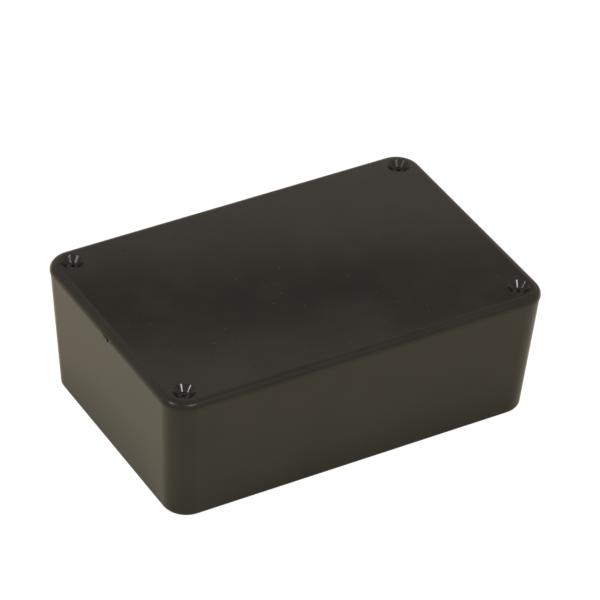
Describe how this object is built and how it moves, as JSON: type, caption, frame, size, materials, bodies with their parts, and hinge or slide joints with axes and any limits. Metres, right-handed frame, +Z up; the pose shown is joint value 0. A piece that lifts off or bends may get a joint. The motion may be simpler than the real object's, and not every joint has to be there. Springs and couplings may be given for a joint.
{
  "type": "plastic project box",
  "caption": "Moulded enclosure for a small circuit: a tapering tray with board guides and a flat lid held by countersunk corner screws.",
  "frame": {"origin": "middle of the foot, on the surface that the box stands on", "axes": "+X along the length, +Y across the width, +Z up out of the lid"},
  "size_m": [0.1503, 0.1, 0.052],
  "materials": {
    "black_plastic": "fine moulded satin",
    "blackened_steel": "black oxide with a thin film of oil"
  },
  "bodies": {
    "tray": {"tray": "black_plastic"},
    "lid": {"lid": "black_plastic"},
    "screw_front_left": {"screw_front_left": "blackened_steel"},
    "screw_front_right": {"screw_front_right": "blackened_steel"},
    "screw_rear_left": {"screw_rear_left": "blackened_steel"},
    "screw_rear_right": {"screw_rear_right": "blackened_steel"}
  },
  "joints": [
    {"name": "lid_lift", "type": "slide", "parent": "tray", "child": "lid", "axis": [0, 0, 1], "range_m": [0, 0.07]},
    {"name": "screw_front_left_out", "type": "slide", "parent": "lid", "child": "screw_front_left", "axis": [0, 0, 1], "range_m": [0, 0.02]},
    {"name": "screw_front_right_out", "type": "slide", "parent": "lid", "child": "screw_front_right", "axis": [0, 0, 1], "range_m": [0, 0.02]},
    {"name": "screw_rear_left_out", "type": "slide", "parent": "lid", "child": "screw_rear_left", "axis": [0, 0, 1], "range_m": [0, 0.02]},
    {"name": "screw_rear_right_out", "type": "slide", "parent": "lid", "child": "screw_rear_right", "axis": [0, 0, 1], "range_m": [0, 0.02]}
  ]
}
